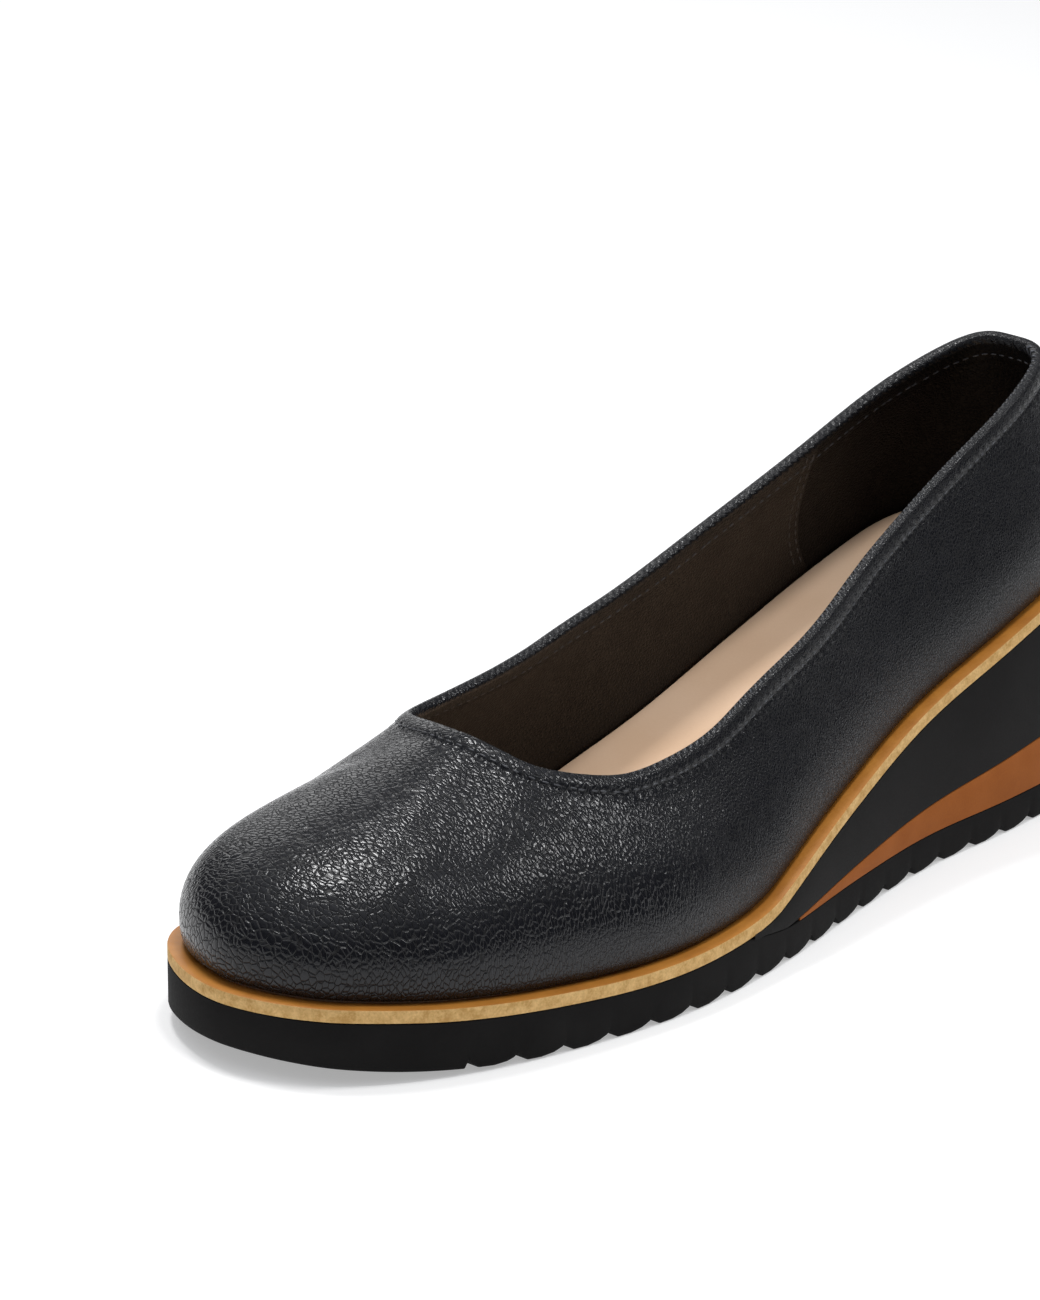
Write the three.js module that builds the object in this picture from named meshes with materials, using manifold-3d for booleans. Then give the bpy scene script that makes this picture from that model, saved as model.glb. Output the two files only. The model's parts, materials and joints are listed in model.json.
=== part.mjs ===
// Low slip-on shoe for the left foot: one leather upper with a hemmed collar, a welt all round and a
// low wedge sole in three layers. Millimetres, +Z up. The toe points along -Y, the outer side is +X.
import * as THREE from 'three';
import { mergeVertices } from 'three/addons/utils/BufferGeometryUtils.js';
import Module from 'manifold-3d';

const wasm = await Module();
wasm.setup();

// Sole, driving dimensions
const soleLength = 256; // tip of the toe to the back of the heel, at the welt
const soleWidth = 90.4; // across the ball, at the welt
const ballThickness = 8.9; // floor to the top of the outsole under the ball
const heelLift = 44; // how much higher the back of the heel seat lies than the ball
const toeSpring = 5; // floor to the underside of the tip of the toe
const springLength = 60; // part of the toe whose underside curves up
const heelUndercut = 3; // how far the floor edge of the heel lies ahead of its top edge
const outsoleHeelThickness = 7.3; // outsole where the wedge stands on it
const wedgeStart = 105; // from the toe to where the wedge layer begins
const insertStart = 120; // from the toe to where the coloured layer begins
const insertHeelThickness = 15; // coloured layer at the back of the heel
const lugPitch = 11.1; // lug to lug, measured along the outer edge
const lugDepth = 2.1; // notch between two lugs
const lugStart = 32; // from the toe to the first notch
const lugEnd = 0.955; // share of the length past which no lug starts
const leastLug = 0.6; // shortest lug, as a share of the pitch

// Welt, insole and upper, driving dimensions
const weltThickness = 2.8;
const weltProjection = 2.9; // how far the welt stands out past the upper
const insoleRise = 2; // top of the insole above the top of the welt
const wallThickness = 2; // leather with its lining
const collarHeight = 43; // top of the welt to the collar, at the back of the heel
const hemWidth = 4.6; // turned and stitched edge of the collar
const hemRaise = 0.45; // how far the hem stands proud of the leather outside
const hemLining = 0.3; // and of the lining inside
const hemStep = 0.7; // length over which the hem drops to the leather
const seatGap = 0.3; // clearance between neighbouring pieces

// Resolution of the curved surfaces
const stepsAround = 92;
const stepsAlong = 60;
const wallSteps = 9;
const outlineSamples = 1200; // pieces of the outline whose lengths are summed
const searchSteps = 1000; // places tried on one side of the outline
const mergeDistance = 1e-4; // points closer than this are one point

// Half widths of the sole: at is a share of soleLength, outer and inner are shares of soleWidth.
const outlineRows = [
  { at: 0.0195, outer: 0.211, inner: 0.19 },
  { at: 0.0586, outer: 0.334, inner: 0.323 },
  { at: 0.117, outer: 0.43, inner: 0.387 },
  { at: 0.195, outer: 0.502, inner: 0.426 },
  { at: 0.293, outer: 0.552, inner: 0.442 },
  { at: 0.371, outer: 0.5575, inner: 0.421 },
  { at: 0.469, outer: 0.519, inner: 0.364 },
  { at: 0.586, outer: 0.439, inner: 0.319 },
  { at: 0.703, outer: 0.377, inner: 0.322 },
  { at: 0.82, outer: 0.363, inner: 0.332 },
  { at: 0.918, outer: 0.325, inner: 0.317 },
  { at: 0.977, outer: 0.208, inner: 0.2 },
];

// Top of the sole above the ball: at is a share of soleLength, spring of toeSpring, lift of heelLift.
const footbedRows = [
  { at: 0, spring: 1.02, lift: 0 },
  { at: 0.059, spring: 0.84, lift: 0 },
  { at: 0.117, spring: 0.54, lift: 0 },
  { at: 0.195, spring: 0.24, lift: 0 },
  { at: 0.293, spring: 0, lift: 0 },
  { at: 0.391, spring: 0, lift: 0.012 },
  { at: 0.449, spring: 0, lift: 0.05 },
  { at: 0.488, spring: 0, lift: 0.136 },
  { at: 0.527, spring: 0, lift: 0.22 },
  { at: 0.586, spring: 0, lift: 0.336 },
  { at: 0.645, spring: 0, lift: 0.451 },
  { at: 0.703, spring: 0, lift: 0.558 },
  { at: 0.781, spring: 0, lift: 0.694 },
  { at: 0.84, spring: 0, lift: 0.79 },
  { at: 0.898, spring: 0, lift: 0.878 },
  { at: 0.957, spring: 0, lift: 0.95 },
  { at: 1, spring: 0, lift: 1 },
];

// One lug from notch to notch: along is a share of the pitch, up a share of lugDepth.
const lugRows = [
  { along: 0, up: 1 },
  { along: 0.12, up: 0.25 },
  { along: 0.2, up: 0 },
  { along: 0.5, up: 0 },
  { along: 0.76, up: 0.22 },
  { along: 0.92, up: 0.55 },
];

// Upper, one row for each section round the shoe, from the tip of the toe along the outer side to the
// heel and back along the inner side. foot is where the section stands on the welt. rimAt, rimAcross and
// rimRise place its collar end, as shares of soleLength, soleWidth and collarHeight. lean is the wall's
// outward slope at the welt and dip the surface's slope at the collar, in degrees. swell and crown are the
// reach of those two slopes, as shares of the straight distance between the two ends.
const sectionRows = [
  { side: 'outer', foot: 0, rimAt: 0.257, rimAcross: 0.044, rimRise: 1.0,
    lean: 14, swell: 0.36, dip: 22, crown: 0.46 },
  { side: 'outer', foot: 0.06, rimAt: 0.257, rimAcross: 0.108, rimRise: 0.994,
    lean: 13, swell: 0.36, dip: 24, crown: 0.46 },
  { side: 'outer', foot: 0.12, rimAt: 0.2625, rimAcross: 0.168, rimRise: 0.959,
    lean: 12, swell: 0.36, dip: 28, crown: 0.43 },
  { side: 'outer', foot: 0.195, rimAt: 0.269, rimAcross: 0.216, rimRise: 0.92,
    lean: 10, swell: 0.37, dip: 34, crown: 0.4 },
  { side: 'outer', foot: 0.26, rimAt: 0.284, rimAcross: 0.26, rimRise: 0.878,
    lean: 9, swell: 0.37, dip: 42, crown: 0.38 },
  { side: 'outer', foot: 0.31, rimAt: 0.3227, rimAcross: 0.31, rimRise: 0.817,
    lean: 8, swell: 0.36, dip: 50, crown: 0.36 },
  { side: 'outer', foot: 0.365, rimAt: 0.36, rimAcross: 0.33, rimRise: 0.786,
    lean: 7, swell: 0.36, dip: 56, crown: 0.35 },
  { side: 'outer', foot: 0.43, rimAt: 0.428, rimAcross: 0.332, rimRise: 0.79,
    lean: 5, swell: 0.35, dip: 64, crown: 0.35 },
  { side: 'outer', foot: 0.5, rimAt: 0.5, rimAcross: 0.321, rimRise: 0.798,
    lean: 2, swell: 0.35, dip: 72, crown: 0.35 },
  { side: 'outer', foot: 0.594, rimAt: 0.594, rimAcross: 0.288, rimRise: 0.774,
    lean: 2, swell: 0.35, dip: 75, crown: 0.35 },
  { side: 'outer', foot: 0.6875, rimAt: 0.6875, rimAcross: 0.236, rimRise: 0.828,
    lean: 4, swell: 0.35, dip: 74, crown: 0.35 },
  { side: 'outer', foot: 0.781, rimAt: 0.781, rimAcross: 0.21, rimRise: 0.9,
    lean: 8, swell: 0.35, dip: 72, crown: 0.35 },
  { side: 'outer', foot: 0.867, rimAt: 0.885, rimAcross: 0.178, rimRise: 0.95,
    lean: 10, swell: 0.35, dip: 70, crown: 0.35 },
  { side: 'outer', foot: 0.94, rimAt: 0.95, rimAcross: 0.118, rimRise: 0.99,
    lean: 10, swell: 0.35, dip: 72, crown: 0.35 },
  { side: 'outer', foot: 1, rimAt: 0.965, rimAcross: 0, rimRise: 1,
    lean: 9, swell: 0.35, dip: 76, crown: 0.35 },
  { side: 'inner', foot: 0.94, rimAt: 0.951, rimAcross: 0.125, rimRise: 0.98,
    lean: 10, swell: 0.35, dip: 72, crown: 0.35 },
  { side: 'inner', foot: 0.867, rimAt: 0.882, rimAcross: 0.203, rimRise: 0.9,
    lean: 8, swell: 0.35, dip: 70, crown: 0.35 },
  { side: 'inner', foot: 0.762, rimAt: 0.762, rimAcross: 0.21, rimRise: 0.865,
    lean: 5, swell: 0.35, dip: 74, crown: 0.35 },
  { side: 'inner', foot: 0.656, rimAt: 0.656, rimAcross: 0.232, rimRise: 0.833,
    lean: 3, swell: 0.35, dip: 78, crown: 0.35 },
  { side: 'inner', foot: 0.547, rimAt: 0.547, rimAcross: 0.243, rimRise: 0.844,
    lean: 3, swell: 0.35, dip: 74, crown: 0.35 },
  { side: 'inner', foot: 0.453, rimAt: 0.453, rimAcross: 0.243, rimRise: 0.92,
    lean: 5, swell: 0.35, dip: 62, crown: 0.35 },
  { side: 'inner', foot: 0.38, rimAt: 0.387, rimAcross: 0.232, rimRise: 0.919,
    lean: 6, swell: 0.35, dip: 54, crown: 0.36 },
  { side: 'inner', foot: 0.32, rimAt: 0.334, rimAcross: 0.2245, rimRise: 0.908,
    lean: 9, swell: 0.35, dip: 46, crown: 0.37 },
  { side: 'inner', foot: 0.258, rimAt: 0.299, rimAcross: 0.205, rimRise: 0.91,
    lean: 11, swell: 0.36, dip: 38, crown: 0.38 },
  { side: 'inner', foot: 0.188, rimAt: 0.281, rimAcross: 0.16, rimRise: 0.934,
    lean: 14, swell: 0.37, dip: 32, crown: 0.42 },
  { side: 'inner', foot: 0.117, rimAt: 0.269, rimAcross: 0.078, rimRise: 0.966,
    lean: 16, swell: 0.37, dip: 27, crown: 0.45 },
  { side: 'inner', foot: 0.0586, rimAt: 0.261, rimAcross: 0.016, rimRise: 0.99,
    lean: 16, swell: 0.37, dip: 24, crown: 0.47 },
];

// Smooth curve through the rows of a table, read at one place.
function readTable(rows, key, column, place) {
  const last = rows.length - 1;
  const p = THREE.MathUtils.clamp(place, rows[0][key], rows[last][key]);
  let i = 0;
  while (i < last - 1 && p > rows[i + 1][key]) i += 1;
  const slope = (k) => {
    const before = rows[Math.max(k - 1, 0)];
    const after = rows[Math.min(k + 1, last)];
    return (after[column] - before[column]) / (after[key] - before[key]);
  };
  const span = rows[i + 1][key] - rows[i][key];
  const t = (p - rows[i][key]) / span;
  const h = 2 * t ** 3 - 3 * t ** 2;
  return (
    (1 + h) * rows[i][column] +
    (t ** 3 - 2 * t ** 2 + t) * span * slope(i) -
    h * rows[i + 1][column] +
    (t ** 3 - t ** 2) * span * slope(i + 1)
  );
}

// Outline of the sole from above, from the tip of the toe round the outer side.
function outlinePoints() {
  const side = (row, column, sign) =>
    new THREE.Vector3(sign * row[column] * soleWidth, row.at * soleLength, 0);
  const outer = outlineRows.map((row) => side(row, 'outer', 1));
  const inner = outlineRows.map((row) => side(row, 'inner', -1)).reverse();
  const toe = new THREE.Vector3(0, 0, 0);
  const heel = new THREE.Vector3(0, soleLength, 0);
  return [toe, ...outer, heel, ...inner];
}
const outline = new THREE.CatmullRomCurve3(outlinePoints(), true, 'catmullrom', 0.5);
outline.arcLengthDivisions = outlineSamples;

// Point of the outline, moved inwards by the inset. around is a share of the way round.
function edgePoint(around, inset) {
  const turn = ((around % 1) + 1) % 1;
  const point = outline.getPointAt(turn);
  const along = outline.getTangentAt(turn);
  return new THREE.Vector2(point.x - along.y * inset, point.y + along.x * inset);
}

// Share of the way round at which the outline passes one place on its outer or inner side.
function aroundAt(side, at) {
  if (at <= 0) return 0;
  const half = at >= 1 ? [0.4, 0.6] : side === 'outer' ? [0, 0.5] : [0.5, 1];
  let best = { off: Infinity, around: 0 };
  for (let k = 0; k <= searchSteps; k += 1) {
    const around = half[0] + ((half[1] - half[0]) * k) / searchSteps;
    const off = Math.abs(edgePoint(around, 0).y - Math.min(at, 1) * soleLength);
    if (off < best.off) best = { off, around };
  }
  return best.around;
}

// Heights of the layers, all functions of the distance y from the toe.
const footbed = (y) =>
  ballThickness +
  toeSpring * readTable(footbedRows, 'at', 'spring', y / soleLength) +
  heelLift * readTable(footbedRows, 'at', 'lift', y / soleLength);
const floorLine = (y) => toeSpring * Math.max(0, 1 - y / springLength) ** 2;
const weltFoot = (y) => footbed(y) + seatGap;
const weltTop = (y) => weltFoot(y) + weltThickness;
const wallFoot = (y) => weltTop(y) + seatGap;
const insoleTop = (y) => weltTop(y) + insoleRise;
const ramp = (y, from, to) => THREE.MathUtils.clamp((y - from) / (to - from), 0, 1);
const outsoleTop = (y) => {
  const share = ramp(y, wedgeStart, insertStart);
  return THREE.MathUtils.lerp(footbed(Math.min(y, wedgeStart)), outsoleHeelThickness, share);
};
const insertFoot = () => outsoleHeelThickness + seatGap;
const insertTop = (y) => outsoleHeelThickness + insertHeelThickness * ramp(y, insertStart, soleLength);
const wedgeFoot = (y) => Math.max(outsoleTop(y), insertTop(y)) + seatGap;

// Outline ring at one height. Towards the floor the back of the heel lies further forward.
const seatHeight = ballThickness + heelLift;
const undercutStart = 0.75; // share of the length from which the heel's sides draw in
function ringPoints(inset, z) {
  const points = [];
  for (let k = 0; k < stepsAround; k += 1) {
    const p = edgePoint(k / stepsAround, inset);
    const share = THREE.MathUtils.smoothstep(p.y / soleLength, undercutStart, 1);
    const drawIn = heelUndercut * share * Math.max(0, 1 - z / seatHeight);
    points.push(new THREE.Vector3(p.x, p.y - drawIn, z));
  }
  return points;
}

// Closed body from stacked rings with the same number of points, lowest first.
function stackRings(rings) {
  const count = rings[0].length;
  const position = rings.flat().flatMap((p) => [p.x, p.y, p.z]);
  const index = [];
  for (let level = 0; level < rings.length - 1; level += 1) {
    for (let k = 0; k < count; k += 1) {
      const a = level * count + k;
      const b = level * count + ((k + 1) % count);
      index.push(a, b, b + count, a, b + count, a + count);
    }
  }
  const flat = rings[0].map((p) => new THREE.Vector2(p.x, p.y));
  const topStart = (rings.length - 1) * count;
  for (const [a, b, c] of THREE.ShapeUtils.triangulateShape(flat, [])) {
    index.push(a, c, b, topStart + a, topStart + b, topStart + c);
  }
  return indexedGeometry(position, index);
}

function indexedGeometry(position, index) {
  const geometry = new THREE.BufferGeometry();
  geometry.setAttribute('position', new THREE.Float32BufferAttribute(position, 3));
  geometry.setIndex(index);
  return geometry;
}

// Between boolean solids and three.js geometries.
function toSolid(geometry) {
  const bare = geometry.clone();
  bare.deleteAttribute('normal');
  bare.deleteAttribute('uv');
  const merged = mergeVertices(bare, mergeDistance);
  const vertProperties = new Float32Array(merged.attributes.position.array);
  const triVerts = new Uint32Array(merged.index.array);
  return new wasm.Manifold(new wasm.Mesh({ numProp: 3, vertProperties, triVerts }));
}

function toGeometry(solid) {
  const mesh = solid.getMesh();
  return indexedGeometry(Array.from(mesh.vertProperties), Array.from(mesh.triVerts));
}

// Everything inside the outline, drawn in by the inset.
function soleColumn(inset) {
  const clearance = 10;
  const levels = [-clearance, seatHeight, seatHeight + clearance];
  return toSolid(stackRings(levels.map((z) => ringPoints(inset, z))));
}

// Points of a height line from one distance to another.
function heightLine(height, from, to) {
  const steps = Math.ceil(((to - from) / soleLength) * stepsAlong);
  return Array.from({ length: steps + 1 }, (_, k) => {
    const y = from + ((to - from) * k) / steps;
    return new THREE.Vector2(y, height(y));
  });
}

// Layer between two height lines, across the whole width.
function layer(lower, upper) {
  const shape = new THREE.Shape([...lower, ...[...upper].reverse()]);
  const geometry = new THREE.ExtrudeGeometry(shape, { depth: 2 * soleWidth, bevelEnabled: false });
  geometry.translate(0, 0, -soleWidth);
  geometry.applyMatrix4(new THREE.Matrix4().set(0, 0, 1, 0, 1, 0, 0, 0, 0, 1, 0, 0, 0, 0, 0, 1));
  return toSolid(geometry);
}

const beyond = 1; // the layers are drawn this far past the outline and trimmed by it
const lineEnd = soleLength + beyond;

// Outsole: floor line with lugs below, footbed and ramp above.
function lugLine() {
  const perimeter = outline.getLength();
  const notches = [lugStart];
  let around = aroundAt('outer', lugStart / soleLength);
  while (notches.at(-1) < lugEnd * soleLength) {
    around += lugPitch / perimeter;
    const y = edgePoint(around, 0).y;
    notches.push(Math.max(y, notches.at(-1) + leastLug * lugPitch));
  }
  const points = heightLine(floorLine, -beyond, lugStart - beyond);
  for (let k = 0; k < notches.length - 1; k += 1) {
    for (const row of lugRows) {
      const y = THREE.MathUtils.lerp(notches[k], notches[k + 1], row.along);
      points.push(new THREE.Vector2(y, floorLine(y) + row.up * lugDepth));
    }
  }
  const end = notches.at(-1);
  points.push(new THREE.Vector2(end, lugDepth));
  points.push(new THREE.Vector2(end + beyond, 0));
  points.push(new THREE.Vector2(lineEnd, 0));
  return points;
}

const makeOutsole = () =>
  layer(lugLine(), heightLine(outsoleTop, -beyond, lineEnd)).intersect(soleColumn(0));

// A tapering layer starts where it is this thick.
const tipThickness = 0.25;
function tipOf(lower, upper, from) {
  let y = from;
  while (upper(y) - lower(y) < tipThickness) y += tipThickness;
  return y;
}

function makeTaper(lower, upper, from) {
  const tip = tipOf(lower, upper, from);
  return layer(heightLine(lower, tip, lineEnd), heightLine(upper, tip, lineEnd))
    .intersect(soleColumn(0));
}

const makeWedge = () => makeTaper(wedgeFoot, footbed, wedgeStart);
const makeInsert = () => makeTaper(insertFoot, insertTop, insertStart);

// Welt: a strip that carries the wall and frames the insole.
const wallInner = weltProjection + wallThickness;
const makeWelt = () =>
  layer(heightLine(weltFoot, -beyond, lineEnd), heightLine(weltTop, -beyond, lineEnd))
    .intersect(soleColumn(0))
    .subtract(soleColumn(wallInner));

const makeInsole = () =>
  layer(heightLine(weltFoot, -beyond, lineEnd), heightLine(insoleTop, -beyond, lineEnd))
    .intersect(soleColumn(wallInner + seatGap));

// Upper: sections from the welt to the collar, read from sectionRows at each step round the shoe.
const signedRows = sectionRows.map((row) => ({
  ...row,
  around: aroundAt(row.side, row.foot),
  rimAcross: row.side === 'outer' ? row.rimAcross : -row.rimAcross,
}));
const turned = (row, turns) => ({ ...row, around: row.around + turns });
const closedRows = [
  ...signedRows.slice(-2).map((row) => turned(row, -1)),
  ...signedRows,
  ...signedRows.slice(0, 2).map((row) => turned(row, 1)),
];

function sectionCurve(around) {
  const read = (column) => readTable(closedRows, 'around', column, around);
  const footPlan = edgePoint(around, weltProjection);
  const outward = edgePoint(around, 0).sub(footPlan).normalize();
  const foot = new THREE.Vector3(footPlan.x, footPlan.y, wallFoot(footPlan.y));
  const rimY = read('rimAt') * soleLength;
  const rimZ = weltTop(rimY) + read('rimRise') * collarHeight;
  const rim = new THREE.Vector3(read('rimAcross') * soleWidth, rimY, rimZ);
  const reach = foot.distanceTo(rim);
  const lean = THREE.MathUtils.degToRad(read('lean'));
  const dip = THREE.MathUtils.degToRad(read('dip'));
  const rising = new THREE.Vector3(
    outward.x * Math.sin(lean),
    outward.y * Math.sin(lean),
    Math.cos(lean)
  );
  const level = new THREE.Vector2(foot.x - rim.x, foot.y - rim.y).normalize();
  const falling = new THREE.Vector3(level.x * Math.cos(dip), level.y * Math.cos(dip), -Math.sin(dip));
  return new THREE.CubicBezierCurve3(
    foot,
    foot.clone().addScaledVector(rising, read('swell') * reach),
    rim.clone().addScaledVector(falling, read('crown') * reach),
    rim
  );
}

// Rows of the wall from the welt to the collar: back is the distance short of the collar, raise is 1 on
// the hem. Below the hem the rows divide the wall evenly.
const hemRows = [
  { back: hemWidth, raise: 1 },
  { back: 0.5 * hemWidth, raise: 1 },
  { back: 0.6 * wallThickness, raise: 1 },
];
const rimRows = [
  { back: 0.15 * wallThickness, across: 0.12 },
  { back: 0, across: 0.5 },
  { back: 0.15 * wallThickness, across: 0.88 },
];

function wallRows(length) {
  const plain = length - hemWidth - hemStep;
  const rows = [];
  for (let j = 0; j <= wallSteps; j += 1) rows.push({ at: (plain * j) / wallSteps, raise: 0 });
  for (const row of hemRows) rows.push({ at: length - row.back, raise: row.raise });
  return rows;
}

const slopeStep = 0.01; // share of a section over which its slope is read

function makeUpper() {
  const sections = Array.from({ length: stepsAround }, (_, k) => {
    const curve = sectionCurve(k / stepsAround);
    const length = curve.getLength();
    const rows = wallRows(length);
    const lips = rimRows.map((row) => ({ ...row, at: length - row.back }));
    return { rows, lips, pointAt: (at) => curve.getPointAt(at / length), length };
  });
  const around = (k) => sections[(k + stepsAround) % stepsAround];
  const normalAt = (k, share) => {
    const along = around(k + 1).pointAt(share * around(k + 1).length);
    along.sub(around(k - 1).pointAt(share * around(k - 1).length));
    const high = Math.min(1, share + slopeStep);
    const low = Math.max(0, share - slopeStep);
    const { pointAt, length } = sections[k];
    const up = pointAt(high * length).sub(pointAt(low * length));
    return along.cross(up).normalize();
  };
  const position = [];
  const push = (p) => position.push(p.x, p.y, p.z);
  sections.forEach((section, k) => {
    const offset = (at, distance) =>
      section.pointAt(at).addScaledVector(normalAt(k, at / section.length), distance);
    const inner = (raise) => -wallThickness - hemLining * raise;
    for (const row of section.rows) push(offset(row.at, hemRaise * row.raise));
    for (const lip of section.lips) {
      push(offset(lip.at, THREE.MathUtils.lerp(hemRaise, inner(1), lip.across)));
    }
    for (const row of [...section.rows.slice(1)].reverse()) push(offset(row.at, inner(row.raise)));
    const base = edgePoint(k / stepsAround, wallInner);
    push(new THREE.Vector3(base.x, base.y, wallFoot(base.y)));
  });
  const count = position.length / 3 / stepsAround;
  const index = [];
  for (let k = 0; k < stepsAround; k += 1) {
    for (let j = 0; j < count; j += 1) {
      const a = k * count + j;
      const b = ((k + 1) % stepsAround) * count + j;
      const aNext = k * count + ((j + 1) % count);
      const bNext = ((k + 1) % stepsAround) * count + ((j + 1) % count);
      index.push(a, b, bNext, a, bNext, aNext);
    }
  }
  return indexedGeometry(position, index);
}

// Colours and finishes of the pieces.
const finishes = {
  outsole: { color: 0x1d1c1b, roughness: 0.85 },
  wedge: { color: 0x242221, roughness: 0.9 },
  wedge_insert: { color: 0xb4682c, roughness: 0.8 },
  welt: { color: 0xc08a4a, roughness: 0.7 },
  insole: { color: 0xddbb9b, roughness: 0.75 },
  upper: { color: 0x16171b, roughness: 0.45 },
};

function addPiece(group, name, geometry) {
  const material = new THREE.MeshStandardMaterial({ ...finishes[name], metalness: 0 });
  const mesh = new THREE.Mesh(geometry, material);
  mesh.name = name;
  group.add(mesh);
}

const shoe = new THREE.Group();
addPiece(shoe, 'outsole', toGeometry(makeOutsole()));
addPiece(shoe, 'wedge', toGeometry(makeWedge()));
addPiece(shoe, 'wedge_insert', toGeometry(makeInsert()));
addPiece(shoe, 'welt', toGeometry(makeWelt()));
addPiece(shoe, 'insole', toGeometry(makeInsole()));
addPiece(shoe, 'upper', makeUpper());

// The origin is on the floor, under the middle of the shoe's box.
const footprint = new THREE.Box3().setFromPoints(ringPoints(0, seatHeight));
const centre = footprint.getCenter(new THREE.Vector3());
shoe.position.set(-centre.x, -centre.y, 0);

export default shoe;
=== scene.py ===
import json
import math
from functools import partial

import bmesh
import bpy
import numpy as np
from mathutils import Matrix, Vector
from mathutils.bvhtree import BVHTree
from mathutils.kdtree import KDTree

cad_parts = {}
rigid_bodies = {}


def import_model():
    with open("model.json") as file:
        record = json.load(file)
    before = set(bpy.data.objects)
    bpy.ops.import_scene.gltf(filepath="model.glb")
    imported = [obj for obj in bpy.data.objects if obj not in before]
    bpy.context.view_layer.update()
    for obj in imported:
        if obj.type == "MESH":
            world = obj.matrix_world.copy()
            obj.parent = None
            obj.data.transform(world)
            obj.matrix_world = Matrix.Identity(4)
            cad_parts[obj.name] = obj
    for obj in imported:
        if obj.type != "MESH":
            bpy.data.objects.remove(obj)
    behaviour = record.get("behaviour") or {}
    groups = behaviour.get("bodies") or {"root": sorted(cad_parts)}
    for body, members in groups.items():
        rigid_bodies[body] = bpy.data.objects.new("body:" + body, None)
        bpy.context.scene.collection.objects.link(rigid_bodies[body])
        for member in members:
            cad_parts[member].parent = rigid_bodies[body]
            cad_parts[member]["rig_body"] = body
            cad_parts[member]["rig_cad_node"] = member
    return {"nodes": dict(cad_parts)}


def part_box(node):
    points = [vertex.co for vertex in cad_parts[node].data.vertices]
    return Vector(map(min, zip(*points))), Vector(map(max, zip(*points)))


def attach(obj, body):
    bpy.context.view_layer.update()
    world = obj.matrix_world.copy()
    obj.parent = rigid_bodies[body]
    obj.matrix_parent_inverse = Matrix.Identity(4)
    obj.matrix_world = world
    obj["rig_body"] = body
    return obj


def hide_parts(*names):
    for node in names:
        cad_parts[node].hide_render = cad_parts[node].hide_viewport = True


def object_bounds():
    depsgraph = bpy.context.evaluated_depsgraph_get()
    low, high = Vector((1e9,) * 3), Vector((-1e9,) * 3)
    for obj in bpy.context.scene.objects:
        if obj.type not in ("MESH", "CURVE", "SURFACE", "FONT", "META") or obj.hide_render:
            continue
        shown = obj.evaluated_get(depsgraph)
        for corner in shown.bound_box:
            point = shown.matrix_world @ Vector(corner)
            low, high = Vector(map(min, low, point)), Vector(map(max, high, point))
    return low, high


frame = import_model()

# A left slip-on of black pebbled leather on a welted wedge sole. Lengths that are given as bare numbers are
# in millimetres in the shoe's own frame: the toe points along -Y and the outer side is +X.
mm = 0.001
hemWidth = 4.6  # from the collar's rim to the seam of its turned-in edge
stitchPitch = 2.4  # stitch to stitch in every sewn row
middleX = -4  # middle line of the sole
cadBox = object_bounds()
scene = bpy.context.scene


# Helpers

def hexColour(text):
    parts = [int(text[k:k + 2], 16) / 255 for k in (0, 2, 4)]
    linear = [v / 12.92 if v <= 0.04045 else ((v + 0.055) / 1.055) ** 2.4 for v in parts]
    return linear + [1.0]


def addNode(tree, kind, sockets=None, output=0, **settings):
    # makes a node, sets it up, links or fills its sockets and hands back one of its outputs
    node = tree.nodes.new("ShaderNode" + kind)
    for key, value in settings.items():
        setattr(node, key, value)
    for key, value in (sockets or {}).items():
        if isinstance(value, bpy.types.NodeSocket):
            tree.links.new(value, node.inputs[key])
        else:
            node.inputs[key].default_value = value
    return node.outputs[output] if node.outputs else node


def activate(obj):
    bpy.ops.object.select_all(action="DESELECT")
    obj.select_set(True)
    bpy.context.view_layer.objects.active = obj


def editMesh(obj, *steps):
    activate(obj)
    bpy.ops.object.mode_set(mode="EDIT")
    for step in steps:
        step()
    bpy.ops.object.mode_set(mode="OBJECT")


def applyModifier(obj, kind, **settings):
    activate(obj)
    modifier = obj.modifiers.new(kind.lower(), kind)
    for key, value in settings.items():
        setattr(modifier, key, value)
    bpy.ops.object.modifier_apply(modifier=modifier.name)


def finishPiece(obj, name, looks, slot, *nodes):
    obj.name = name
    obj.data.name = name
    obj.data.materials.clear()
    for look in looks:
        obj.data.materials.append(look)
    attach(obj, "root")
    if nodes:
        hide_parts(*nodes)
    print("made", name, len(obj.data.polygons), "faces")


def coordsOf(obj):
    flat = np.empty(len(obj.data.vertices) * 3)
    obj.data.vertices.foreach_get("co", flat)
    return flat.reshape(-1, 3)


def setCoords(obj, coords):
    obj.data.vertices.foreach_set("co", np.asarray(coords, dtype=float).ravel())
    obj.data.update()


def setAttribute(obj, name, values):
    layer = obj.data.attributes.new(name, "FLOAT", "POINT")
    layer.data.foreach_set("value", np.asarray(values, dtype=np.float32))


def smoothStep(value, low, high):
    t = np.clip((value - low) / (high - low), 0, 1)
    return t * t * (3 - 2 * t)


# Camera and light

camera = {
    "azimuth": 43.214,  # degrees round from the toe towards the outer side
    "elevation": 19.895,
    "distance": 1600.7,
    "target": (-72.55, 32.26, 30.0),
    "lens": 201.28,
    "sensor": 36.0,
    "clip": (50, 20000),
}


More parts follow.
